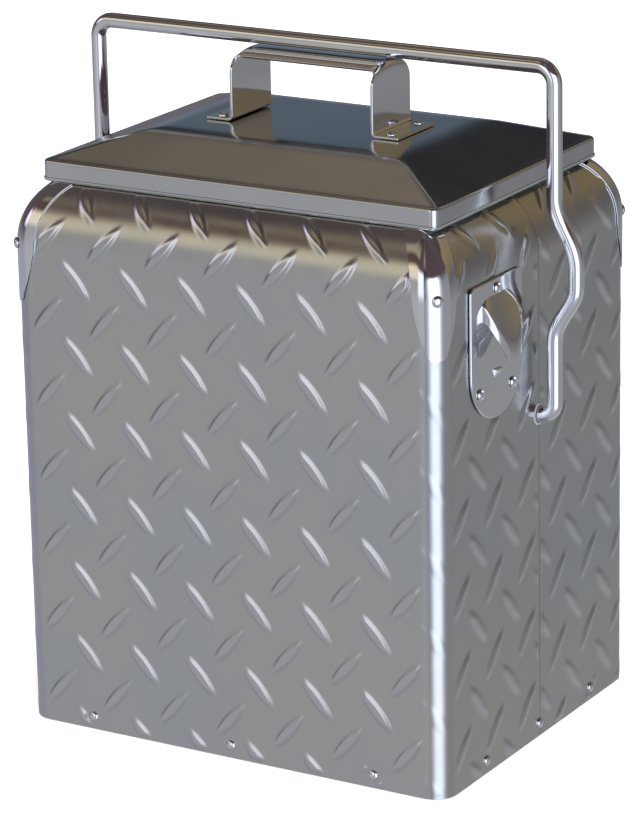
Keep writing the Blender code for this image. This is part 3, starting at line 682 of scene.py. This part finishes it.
def screw(node):
    """A pan head with a cross recess pressed into it. Its sizes are in millimetres."""
    head_h, recess_r, recess_depth, arm = 1.5, 2.0, 0.8, 0.97
    profile = ((0.35, head_h), (1.1, 1.48), (1.9, 1.36), (2.6, 1.1), (3.1, 0.65), (3.3, 0.3), (3.3, 0),
               (1.6, 0), (1.6, -4))
    low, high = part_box(node)
    base = Vector((high.x - head_h * MM, (low.y + high.y) / 2, (low.z + high.z) / 2))
    rings = []
    for radius, height in profile:
        ring = []
        for turn in round_turns(32):
            y, z = math.cos(turn), math.sin(turn)
            recess = recess_depth * (radius < recess_r and max(abs(y), abs(z)) > arm)
            ring.append(base + MM * Vector((height - recess, radius * y, radius * z)))
        rings.append(ring)
    add_piece("head_" + node, loft(node, rings, True, True), CHROME, CHEST, [node])


# ---------------------------------------------------------------- lid

def lid_profile():
    """(inset from the skirt, height) from the hem up the skirt and over its edge."""
    hem, edge = 0.5 * MM, 1.7 * MM
    profile = [(1.2 * MM, SKIRT_LOW + 0.4 * MM), (0.6 * MM, SKIRT_LOW), (0, SKIRT_LOW + 0.5 * MM),
               (0, SKIRT_LOW + 2.0 * MM), (hem, SKIRT_LOW + 2.15 * MM), (hem, SKIRT_LOW + 3.2 * MM),
               (hem, SKIRT_TOP - edge - 0.6 * MM), (hem, SKIRT_TOP - edge)]
    return profile + [(hem + inward, SKIRT_TOP - edge + rise) for inward, rise in quarter_bend(edge, 5)]


def lid_top():
    """(half width, half depth, height) up the slope and round onto the crown."""
    inset, ease, steps = 2.4 * MM, 0.68, 20
    start_w, start_d = LID_HALF_W - inset, LID_HALF_D - inset
    top = []
    for step in range(1, steps + 1):
        share = step / steps
        top.append((start_w + (CROWN_HALF_W - start_w) * share, start_d + (CROWN_HALF_D - start_d) * share,
                    SKIRT_TOP + (CROWN_Z - SKIRT_TOP) * eased(share, ease)))
    return top


def lid():
    """One pressed shell: skirt, four slopes and a flat crown."""
    skirt_corner, slope_corner, gauge = 5 * MM, 3.5 * MM, 0.8 * MM
    rings = [ring_at(LID_HALF_W - inset, LID_HALF_D - inset, skirt_corner - 0.6 * inset, z)
             for inset, z in lid_profile()]
    rings += [ring_at(half_w, half_d, slope_corner, z) for half_w, half_d, z in lid_top()]
    mesh_data = loft("lid_shell", rings, cap_last=True)
    turn_to_face(mesh_data, (0, 0, 1))
    piece = add_piece("lid_shell", mesh_data, LID_STEEL, LID, ["lid_outer"], smooth_deg=60)
    thicken(piece, gauge)


def bracket_path(thickness, half_x):
    """(x, height, share of the bridge's shape) from the right foot to the middle of the bridge."""
    low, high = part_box("lid_bracket")
    foot_z, bridge_z, ear_x = low.z + thickness / 2, high.z - thickness / 2, half_x - thickness / 2
    low_bend, high_bend, shoulder, bend_steps, shoulder_steps = 2.6 * MM, 4.0 * MM, 12 * MM, 6, 8
    path = [(high.x, foot_z, 0)]
    path += [(*point, 0) for point in arc_points((ear_x + low_bend, foot_z + low_bend), low_bend,
                                                 1.5 * math.pi, math.pi, bend_steps)]
    bend_z = bridge_z - high_bend
    for step in range(shoulder_steps + 1):
        share = step / shoulder_steps
        path.append((ear_x, bend_z - shoulder + shoulder * share, 0.5 * share ** 2))
    ends = arc_points((ear_x - high_bend, bend_z), high_bend, 0, RIGHT_ANGLE, bend_steps)[1:]
    path += [(*point, 0.5 + 0.5 * (step + 1) / bend_steps) for step, point in enumerate(ends)]
    return path + [(30 * MM, bridge_z, 1), (15 * MM, bridge_z, 1), (0, bridge_z, 1)]


def bracket():
    """The strap over the lid: feet, ears with rounded shoulders and a crowned bridge."""
    thickness, half_x, half_y, neck_y = 1.6 * MM, 47 * MM, 21.5 * MM, 16 * MM
    crown, half_columns = 45 * MM - thickness / 2, 8
    path = bracket_path(thickness, half_x)
    path += [(-x, z, top) for x, z, top in reversed(path[:-1])]
    rings = []
    for x, z, top in path:
        half = half_y + (neck_y - half_y) * math.sin(top * RIGHT_ANGLE) ** 2
        ring = []
        for column in range(-half_columns, half_columns + 1):
            y = half * column / half_columns
            sag = crown - math.sqrt(crown * crown - y * y)
            ring.append((x, y, z - sag * top))
        rings.append(ring)
    mesh_data = loft("bracket", rings, closed=False)
    turn_to_face(mesh_data, (0, 0, 1))
    piece = add_piece("bracket", mesh_data, CHROME, LID, ["lid_bracket"])
    thicken(piece, thickness, 0, 0.4 * MM)


# ---------------------------------------------------------------- tub, pans and seal

def open_shape(name, node, rings, facing, thickness, material, body):
    """A sheet shape that is open at its first ring and closed at its last."""
    mesh_data = loft(name, rings, cap_last=True)
    turn_to_face(mesh_data, facing)
    piece = add_piece(name, mesh_data, material, body, [node])
    thicken(piece, thickness, -1, 0.4 * MM)


def tub():
    """The liner: a flange in the mouth, straight walls and a floor on a rounded bend."""
    inset, corner, lip, bend, floor_bend_z = 23 * MM, 20 * MM, 1 * MM, 6 * MM, 36 * MM
    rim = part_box("liner")[1].z
    rings = [body_ring(19.2 * MM, rim, 16 * MM), body_ring(inset - lip, rim, corner - lip),
             body_ring(inset, rim - lip, corner), body_ring(inset, floor_bend_z, corner)]
    rings += [body_ring(inset + inward, floor_bend_z - drop, corner - inward)
              for inward, drop in quarter_bend(bend, 6)]
    open_shape("tub", "liner", rings, (0, 0, 1), 1.5 * MM, PLASTIC, CHEST)


def lid_pan():
    """The lid's underside: a flange inside the skirt and a plug that tapers a little."""
    flange_inset, plug_inset, taper, bend = 1.4 * MM, 24.2 * MM, 0.6 * MM, 4 * MM
    flange_corner, corner, high = 3.6 * MM, 18 * MM, 328.3 * MM
    plug_w, plug_d, low = HALF_W - plug_inset, HALF_D - plug_inset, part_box("lid_inner")[0].z
    rings = [ring_at(LID_HALF_W - flange_inset, LID_HALF_D - flange_inset, flange_corner, high),
             ring_at(plug_w, plug_d, corner, high)]
    for inward, drop in [(0, 0)] + quarter_bend(bend, 5):
        inward += taper
        rings.append(ring_at(plug_w - inward, plug_d - inward, corner - inward, low + bend - drop))
    open_shape("lid_pan", "lid_inner", rings, (0, 0, -1), 1.2 * MM, PLASTIC, LID)


def foot_pan():
    """The tray that closes the foot, with its sides up inside the plate."""
    inset, corner, bend, side_top = 1.3 * MM, 12.7 * MM, 1.5 * MM, 18 * MM
    rings = [body_ring(inset, side_top, corner), body_ring(inset, bend, corner)]
    rings += [body_ring(inset + inward, bend - drop, corner - inward)
              for inward, drop in quarter_bend(bend, 4)]
    open_shape("foot_pan", "base_pan", rings, (0, 0, -1), 1.2 * MM, GALVANISED, CHEST)


def seal():
    """A soft ring of oval section round the plug."""
    low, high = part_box("lid_gasket")
    half, middle, corner = 1.7 * MM, (low.z + high.z) / 2, 18 * MM
    inset = HALF_W - high.x + half
    rings = []
    for turn in round_turns(16):
        across, rise = half * math.cos(turn), (high.z - low.z) / 2 * math.sin(turn)
        rings.append(body_ring(inset + across, middle + rise, corner - across))
    mesh_data = loft("seal", rings + rings[:1])
    rework(mesh_data, join_doubles)
    add_piece("seal", mesh_data, RUBBER, LID, ["lid_gasket"])


# ---------------------------------------------------------------- bail

def kink_offset(z):
    """How far a leg stands out at a height: up to the full kink and back."""
    low, low_full, high_full, high = KINK_Z
    share = max(0, min(1, (z - low) / (low_full - low), (high - z) / (high - high_full)))
    return LEG_KINK * (1 - math.cos(math.pi * share)) / 2


def bail():
    """The bent rod: into the wall at the pivots, out past the opener and across the bracket."""
    pivot_bend, bar_bend, bend_steps, kink_steps = 8 * MM, 10 * MM, 12, 40
    past_bush, inside_wall = 5 * MM, 2 * MM
    half = [(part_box("pivot_bush_right")[0].x - past_bush, PIVOT_Z), (HALF_W - inside_wall, PIVOT_Z)]
    half += arc_points((LEG_X - pivot_bend, PIVOT_Z + pivot_bend), pivot_bend, -RIGHT_ANGLE, 0, bend_steps)
    for step in range(kink_steps + 1):
        z = KINK_Z[0] + (KINK_Z[-1] - KINK_Z[0]) * step / kink_steps
        half.append((LEG_X + kink_offset(z), z))
    half += arc_points((LEG_X - bar_bend, BAR_Z - bar_bend), bar_bend, 0, RIGHT_ANGLE, bend_steps)
    route = half + [(-x, z) for x, z in reversed(half)]
    data = bpy.data.curves.new("bail_rod", "CURVE")
    data.dimensions = "3D"
    data.bevel_depth = ROD_R
    data.bevel_resolution = 10
    data.use_fill_caps = True
    spline = data.splines.new("POLY")
    spline.points.add(len(route) - 1)
    for point, (x, z) in zip(spline.points, route):
        point.co = (x, 0, z, 1)
    data.materials.append(CHROME)
    rod = bpy.data.objects.new("bail_rod", data)
    bpy.context.scene.collection.objects.link(rod)
    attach(rod, BAIL)
    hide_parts("bail_handle")


def bush(node, sign):
    """The nylon sleeve that the rod turns in, with a rounded lip outside the wall and a flange inside."""
    bore, lip, edge, flange_r = ROD_R + 0.35 * MM, 0.4 * MM, 0.2 * MM, BUSH_R + 3.5 * MM
    flange_face, flange_back, tail = -2.6 * MM, -4.2 * MM, -11 * MM
    profile = [(bore + edge, lip), (BUSH_R - lip, lip), (BUSH_R, 0), (BUSH_R, flange_face),
               (flange_r, flange_face), (flange_r, flange_back), (BUSH_R, flange_back),
               (BUSH_R, tail), (bore, tail), (bore, lip - 0.3 * MM), (bore + edge, lip)]
    mesh_data = loft("bush", turned_rings(profile, (sign * HALF_W, 0, PIVOT_Z), (sign, 0, 0), 48))
    rework(mesh_data, join_doubles)
    add_piece("sleeve_" + node.rsplit("_", 1)[1], mesh_data, NYLON, CHEST, [node])


# ---------------------------------------------------------------- opener

def opener_face():
    """The plate on the wall: square shoulders above and a round end below."""
    corner, corner_steps, end_steps = 4 * MM, 8, 40
    high, reach = OPENER_TOP - corner, OPENER_HALF - corner
    outline = arc_points((OPENER_Y + reach, high), corner, 0, RIGHT_ANGLE, corner_steps)
    outline += arc_points((OPENER_Y - reach, high), corner, RIGHT_ANGLE, math.pi, corner_steps)
    outline += arc_points((OPENER_Y, OPENER_ARC_Z), OPENER_HALF, math.pi, 2 * math.pi, end_steps)
    rings = [[(x, y, z) for y, z in outline] for x in (OPENER_BACK, OPENER_BACK + OPENER_T)]
    piece = add_piece("opener_face", loft("opener_face", rings, True, True), CHROME, CHEST,
                      ["opener_plate"])
    soften(piece, 0.7 * MM, 4)


def opener_hood():
    """The beak that a bottle's cap goes under: an arch that swells out of the plate to a lip."""
    top, side, tip, collar = 281 * MM, 272 * MM, 246 * MM, 5 * MM
    half, out, ease = 17 * MM, 13 * MM, 0.72
    arch_steps, collar_steps, turn_steps = 16, 2, 32
    root = OPENER_BACK + OPENER_T / 2
    rings = []
    for step in range(arch_steps + collar_steps + 1):
        share = min(1, step / arch_steps)
        drop = collar * max(0, step - arch_steps) / collar_steps
        width = half * (0.45 + 0.55 * math.sin(min(1, share * 1.6) * RIGHT_ANGLE))
        swell = out * eased(share, ease)
        ring = []
        for turn in range(turn_steps + 1):
            angle = math.pi * turn / turn_steps
            bulge = math.sin(angle)
            z = top + (side + (tip - side) * bulge ** 1.8 - top) * share
            ring.append((root + swell * bulge ** 0.85, OPENER_Y - width * math.cos(angle), z - drop))
        rings.append(ring)
    mesh_data = loft("opener_hood", rings, closed=False)
    turn_to_face(mesh_data, (1, 0, 0))
    piece = add_piece("opener_hood", mesh_data, CHROME, CHEST, ["opener_plate"])
    thicken(piece, 1.6 * MM, -1, 0.5 * MM)


def opener_tooth():
    """The small tooth below the hood that catches under the cap's edge."""
    half, low, high, out, lip = 3.5 * MM, 232 * MM, 236.5 * MM, 2.2 * MM, 1.2 * MM
    root = OPENER_BACK + OPENER_T / 2
    section = [(root, low), (root + 0.4 * out, low), (root + out, high - lip), (root + out, high),
               (root, high)]
    rings = [[(x, OPENER_Y + y, z) for x, z in section] for y in (-half, half)]
    piece = add_piece("opener_tooth", loft("opener_tooth", rings, True, True), CHROME, CHEST,
                      ["opener_plate"], smooth_deg=20)
    soften(piece, 0.25 * MM)


# ---------------------------------------------------------------- studio

def direction_mask(nodes, azimuth, centre_deg, half_deg, soft_deg):
    """1 within half_deg of a compass direction, fading to 0 over soft_deg."""
    centre, half, soft = (math.radians(value) for value in (centre_deg, half_deg, soft_deg))
    turned = nodes.math("WRAP", nodes.math("SUBTRACT", azimuth, centre), math.pi, -math.pi)
    made = nodes.add("ShaderNodeMapRange", {"Value": nodes.math("ABSOLUTE", turned), "From Min": half,
                                            "From Max": half + soft, "To Min": 1, "To Max": 0},
                     interpolation_type="SMOOTHSTEP")
    return made.outputs["Result"]


def sky_ramp(nodes, height, stops):
    """A colour by elevation, from (degrees, colour) stops."""
    return nodes.ramp(height, [((math.sin(math.radians(angle)) + 1) / 2, colour) for angle, colour in stops])


# What the metal mirrors, by direction. Compass 0 is in front of the chest and 90 is to its right.
ROOM = {
    "rear_left": ((-60, (0.42, 0.42, 0.43)), (-15, (0.36, 0.36, 0.37)), (-7, (0.15, 0.13, 0.14)),
                  (4, (0.20, 0.23, 0.30)), (17, (0.085, 0.12, 0.15)), (24, (0.03, 0.03, 0.035)),
                  (34, (0.04, 0.035, 0.03)), (42, (0.22, 0.185, 0.145)), (54, (0.38, 0.31, 0.22)),
                  (75, (0.14, 0.12, 0.11))),
    "rear_right": ((-60, (0.56, 0.57, 0.58)), (-24, (0.42, 0.43, 0.44)), (-12, (0.27, 0.27, 0.275)),
                   (4, (0.16, 0.15, 0.15)), (14, (0.25, 0.20, 0.12)), (34, (0.33, 0.25, 0.14)),
                   (42, (0.07, 0.06, 0.055)), (75, (0.10, 0.09, 0.09))),
    "left": ((-60, (0.34, 0.34, 0.36)), (-18, (0.46, 0.46, 0.60)), (-6, (0.26, 0.25, 0.29)),
             (6, (0.12, 0.09, 0.10)), (60, (0.10, 0.08, 0.08))),
    "far_window": ((-60, (0.36, 0.36, 0.38)), (-18, (0.47, 0.47, 0.54)), (-6, (0.26, 0.25, 0.28)),
                   (6, (0.13, 0.10, 0.11)), (13, (1.2, 1.15, 1.45)), (24, (1.3, 1.25, 1.55)),
                   (30, (0.12, 0.09, 0.09)), (60, (0.10, 0.08, 0.08))),
    "front_left": ((-60, (0.40, 0.40, 0.41)), (-28, (0.50, 0.52, 0.555)), (-14, (0.50, 0.505, 0.515)),
                   (2, (0.44, 0.44, 0.44)), (11, (0.42, 0.42, 0.40)), (18, (0.92, 0.85, 0.65)),
                   (29, (0.95, 0.84, 0.60)), (36, (0.13, 0.08, 0.065)), (44, (0.10, 0.065, 0.055)),
                   (50, (0.40, 0.34, 0.24)), (62, (0.30, 0.25, 0.18)), (76, (0.06, 0.05, 0.05))),
    "panel": ((-60, (0.40, 0.41, 0.45)), (-38, (0.55, 0.57, 0.66)), (-28, (1.6, 1.8, 2.1)),
              (-10, (2.0, 2.15, 2.4)), (22, (2.4, 2.4, 2.5)), (28, (0.12, 0.07, 0.08)),
              (60, (0.10, 0.07, 0.08)), (80, (0.08, 0.07, 0.07))),
    "halo": ((-60, (0.42, 0.43, 0.47)), (-28, (0.62, 0.64, 0.82)), (20, (0.70, 0.72, 0.95)),
             (28, (0.12, 0.07, 0.08)), (60, (0.10, 0.07, 0.08))),
    "window": ((-60, (0.42, 0.43, 0.45)), (-16, (0.52, 0.53, 0.56)), (-4, (1.2, 1.2, 1.3)),
               (26, (1.4, 1.4, 1.5)), (34, (0.12, 0.08, 0.08)), (60, (0.10, 0.07, 0.08))),
    "right": ((-60, (0.40, 0.40, 0.41)), (-10, (0.36, 0.36, 0.37)), (14, (0.32, 0.32, 0.34)),
              (26, (0.11, 0.08, 0.08)), (60, (0.10, 0.08, 0.08))),
}
# (name, middle, half width, soft edge) in degrees, each over the ones before it.
SECTORS = (("rear_right", 146, 20, 13), ("left", -88, 26, 16), ("far_window", -62, 9, 8),
           ("front_left", -34, 19, 10), ("window", -7, 8, 8), ("right", 98, 18, 12), ("halo", 48, 26, 14),
           ("panel", 48, 12, 18))


def studio_world():
    world = bpy.data.worlds.new("studio")
    bpy.context.scene.world = world
    world.use_nodes = True
    nodes = Nodes(world.node_tree)
    for node in list(world.node_tree.nodes):
        world.node_tree.nodes.remove(node)
    place = nodes.add("ShaderNodeTexCoord").outputs["Generated"]
    axes = nodes.add("ShaderNodeSeparateXYZ", {"Vector": place}).outputs
    azimuth = nodes.math("ARCTAN2", axes["X"], nodes.math("MULTIPLY", axes["Y"], -1))
    height = nodes.math("MULTIPLY_ADD", axes["Z"], 0.5, 0.5)
    colour = sky_ramp(nodes, height, ROOM["rear_left"])
    for name, centre, half, soft in SECTORS:
        mask = direction_mask(nodes, azimuth, centre, half, soft)
        colour = nodes.mix(mask, colour, sky_ramp(nodes, height, ROOM[name]))
    room = nodes.add("ShaderNodeBackground", {"Color": colour, "Strength": 1.0}).outputs[0]
    plain = nodes.add("ShaderNodeBackground", {"Color": (1, 1, 1, 1), "Strength": 1.0}).outputs[0]
    seen = nodes.add("ShaderNodeLightPath").outputs["Is Camera Ray"]
    both = nodes.add("ShaderNodeMixShader", {0: seen, 1: room, 2: plain}).outputs[0]
    nodes.add("ShaderNodeOutputWorld", {"Surface": both})


def studio_floor():
    """A plain pale floor that the metal doesn't mirror. It glows more with distance, up to plain white."""
    radius, level, sides, near, far = 9, -0.0004, 64, 0.5, 2.5
    made, nodes, shader = new_material("studio_floor")
    grain = nodes.noise(nodes.stretched(), 3, 2)
    nodes.put(shader.inputs["Base Color"], nodes.mix(grain, (0.90, 0.90, 0.90, 1), (0.93, 0.93, 0.93, 1)))
    shader.inputs["Roughness"].default_value = 1
    shader.inputs["Emission Color"].default_value = (1, 1, 1, 1)
    away = nodes.add("ShaderNodeVectorMath", {0: nodes.stretched()}, operation="LENGTH").outputs["Value"]
    glow = nodes.add("ShaderNodeMapRange", {"Value": away, "From Min": near, "From Max": far,
                                            "To Min": 0.45, "To Max": 1})
    nodes.put(shader.inputs["Emission Strength"], glow.outputs["Result"])
    disc = [(radius * math.cos(turn), radius * math.sin(turn), level) for turn in round_turns(sides)]
    floor = bpy.data.objects.new("studio_floor", mesh_from("studio_floor", disc, [tuple(range(sides))]))
    turn_to_face(floor.data, (0, 0, 1))
    floor.data.materials.append(made)
    bpy.context.scene.collection.objects.link(floor)
    floor.visible_glossy = False


def softbox(name, position, size, power):
    """A round white light that the metal doesn't mirror, turned to the middle of the chest."""
    aim = Vector((0, 0, 0.18))
    data = bpy.data.lights.new(name, "AREA")
    data.shape = "DISK"
    data.size = size
    data.energy = power
    light = bpy.data.objects.new(name, data)
    light.location = position
    light.rotation_euler = (aim - Vector(position)).to_track_quat("-Z", "Y").to_euler()
    light.visible_glossy = False
    bpy.context.scene.collection.objects.link(light)


def photo_camera():
    """A long lens, 31 degrees to the right of the front and 17 degrees above the horizon."""
    azimuth, elevation, roll = math.radians(31.05), math.radians(17.36), -0.02
    sensor_mm, lens_mm = 36, 174.3
    target, distance = Vector((-0.004, 0, 0.1788)), 2.294
    back = Vector((math.sin(azimuth) * math.cos(elevation), -math.cos(azimuth) * math.cos(elevation),
                   math.sin(elevation)))
    right = Vector((math.cos(azimuth), math.sin(azimuth), 0))
    up = back.cross(right)
    tilted_right = right * math.cos(roll) + up * math.sin(roll)
    tilted_up = up * math.cos(roll) - right * math.sin(roll)
    camera = bpy.data.objects.new("camera", bpy.data.cameras.new("camera"))
    camera.data.sensor_width = sensor_mm
    camera.data.lens = lens_mm
    camera.matrix_world = Matrix.Translation(target + back * distance) @ Matrix(
        (tilted_right, tilted_up, back)).transposed().to_4x4()
    bpy.context.scene.collection.objects.link(camera)
    bpy.context.scene.camera = camera


# ---------------------------------------------------------------- assembly

tread_wall("front_wall", "front_shell", -1, 0)
tread_wall("rear_wall", "rear_shell", 1, REAR_LUG_SHIFT)
for where, sign_x, sign_y in (("front_left", -1, -1), ("front_right", 1, -1), ("rear_left", -1, 1),
                              ("rear_right", 1, 1)):
    corner_cap(where, sign_x, sign_y)
rivets()
for index in (1, 2, 3):
    screw("opener_screw_%d" % index)
lid()
bracket()
tub()
lid_pan()
foot_pan()
seal()
bail()
bush("pivot_bush_left", -1)
bush("pivot_bush_right", 1)
opener_face()
opener_hood()
opener_tooth()

for finish, kept_nodes in ((FOAM, ("foam_insulation", "lid_foam")),
                           (GALVANISED, ("seam_strip_left", "seam_strip_right", "bail_clip_left",
                                         "bail_clip_right"))):
    for node in kept_nodes:
        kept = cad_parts[node]
        kept.data.materials.clear()
        kept.data.materials.append(finish)

studio_world()
studio_floor()
softbox("key", (1.6, -1.9, 2.2), size=1.6, power=70)
softbox("fill", (-2.2, -1.2, 1.8), size=1.8, power=35)
softbox("back", (0.4, 2.2, 2.2), size=1.6, power=30)
photo_camera()
bpy.context.scene.view_settings.view_transform = "Standard"
